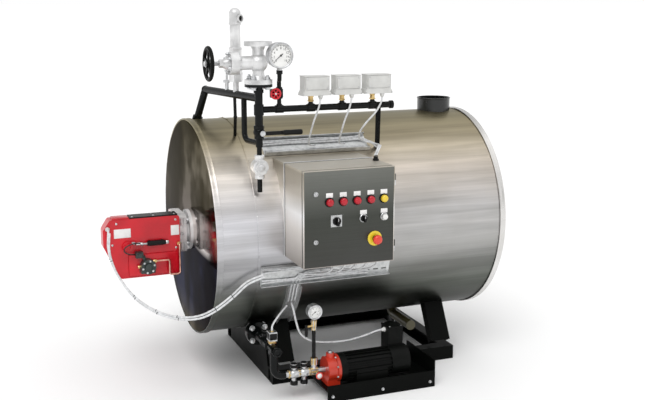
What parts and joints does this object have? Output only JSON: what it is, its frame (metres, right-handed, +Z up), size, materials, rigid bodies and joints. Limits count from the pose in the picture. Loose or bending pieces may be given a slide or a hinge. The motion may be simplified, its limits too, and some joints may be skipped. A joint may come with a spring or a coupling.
{
  "type": "packaged steam boiler",
  "caption": "Horizontal steam boiler in a stainless jacket with a red burner, valve set, control panel and feed pump on a black steel base.",
  "frame": {"origin": "middle of the outline on the floor", "axes": "+X along the boiler to its rear, -Y to the control panel's side, +Z up"},
  "size_m": [1.797, 1.2632, 1.667],
  "materials": {
    "stainless": "brushed",
    "polished_stainless": "mirror polish",
    "black_paint": "gloss",
    "black_pipe": "gloss",
    "olive_pipe": "satin",
    "cast_silver": "aluminium paint",
    "bright_steel": "zinc plated",
    "black_iron": "painted",
    "black_plastic": "moulded",
    "red_paint": "gloss",
    "copper": "drawn copper",
    "brass": "machined",
    "grey_plastic": "moulded",
    "gauge_face": "printed dial under a clear window",
    "dark_door": "fine brushed",
    "red_lens": "lens",
    "white_plastic": "moulded",
    "yellow_plastic": "moulded",
    "red_plastic": "moulded",
    "galvanised": "galvanised",
    "cable_grey": "extruded sheath"
  },
  "bodies": {
    "boiler": {"jacket_front_course": "stainless", "jacket_main_course": "stainless", "front_cover": "polished_stainless", "rear_cover": "stainless", "flue_stub": "black_paint", "base_rails": "black_paint", "cross_beams": "black_paint", "front_saddle": "black_paint", "legs": "black_paint", "burner_flange": "cast_silver", "burner_casing": "red_paint", "burner_lid": "black_plastic", "burner_fuel_pump": "black_iron", "burner_servo": "black_plastic", "burner_oil_pipe": "copper", "steam_pipe": "black_pipe", "stand_pipe": "black_pipe", "pressure_manifold": "black_pipe", "manifold_bracket": "black_pipe", "stop_valve_body": "cast_silver", "stop_valve_bonnet": "cast_silver", "safety_valve": "cast_silver", "vent_cock": "bright_steel", "drain_loop": "black_pipe", "drain_valve": "black_pipe", "drain_pipes": "black_pipe", "steam_trap": "cast_silver", "pressure_switches": "grey_plastic", "switch_stems": "brass", "pressure_gauge": "gauge_face", "gauge_cock": "black_pipe", "panel_console": "stainless", "panel_box": "stainless", "mounting_plate": "bright_steel", "panel_hinges": "bright_steel", "upper_cable_tray": "galvanised", "lower_cable_tray": "galvanised", "blowdown_pipe": "olive_pipe", "feed_pipe": "black_pipe", "feed_valves": "bright_steel", "feed_pump": "red_paint", "pump_motor": "black_iron", "pump_tray": "black_paint", "lower_gauge": "gauge_face", "burner_cable": "cable_grey", "switch_cables": "cable_grey", "pump_cable": "cable_grey", "control_cables": "cable_grey"},
    "door": {"panel_door": "dark_door", "indicator_lamps": "red_lens", "main_switch_plate": "grey_plastic", "estop_collar": "yellow_plastic"},
    "main_switch": {"main_switch_knob": "black_plastic"},
    "selector": {"selector_knob": "black_plastic"},
    "start_button": {"push_button": "white_plastic"},
    "emergency_stop": {"estop_button": "red_plastic"},
    "handwheel": {"stop_valve_wheel": "black_iron", "stop_valve_stem": "bright_steel"},
    "lever": {"drain_lever": "black_plastic"},
    "cock_wheel": {"gauge_cock_wheel": "red_paint"}
  },
  "joints": [
    {"name": "panel_door_hinge", "type": "hinge", "parent": "boiler", "child": "door", "pos_m": [0.218, -0.5661, 0.831], "axis": [0, 0, 1], "range_deg": [0, 120]},
    {"name": "main_switch_turn", "type": "hinge", "parent": "door", "child": "main_switch", "pos_m": [-0.05, -0.5866, 0.821], "axis": [0, 1, 0], "range_deg": [0, 90]},
    {"name": "selector_turn", "type": "hinge", "parent": "door", "child": "selector", "pos_m": [0.07, -0.5866, 0.823], "axis": [0, 1, 0], "range_deg": [-45, 45]},
    {"name": "start_button_press", "type": "slide", "parent": "door", "child": "start_button", "axis": [0, 1, 0], "range_m": [0, 0.004], "stiffness_N_per_m": 400, "springref_m": -0.003},
    {"name": "emergency_stop_press", "type": "slide", "parent": "door", "child": "emergency_stop", "axis": [0, 1, 0], "range_m": [0, 0.006]},
    {"name": "stop_valve_turn", "type": "hinge", "parent": "boiler", "child": "handwheel", "pos_m": [-0.498, -0.3236, 1.448], "axis": [-1, 0, 0], "range_deg": [0, 1440]},
    {"name": "drain_lever_turn", "type": "hinge", "parent": "boiler", "child": "lever", "pos_m": [-0.289, -0.3676, 1.162], "axis": [0, -1, 0], "range_deg": [0, 90]},
    {"name": "gauge_cock_turn", "type": "hinge", "parent": "boiler", "child": "cock_wheel", "pos_m": [-0.224, -0.3516, 1.321], "axis": [0, -1, 0], "range_deg": [0, 720]}
  ]
}
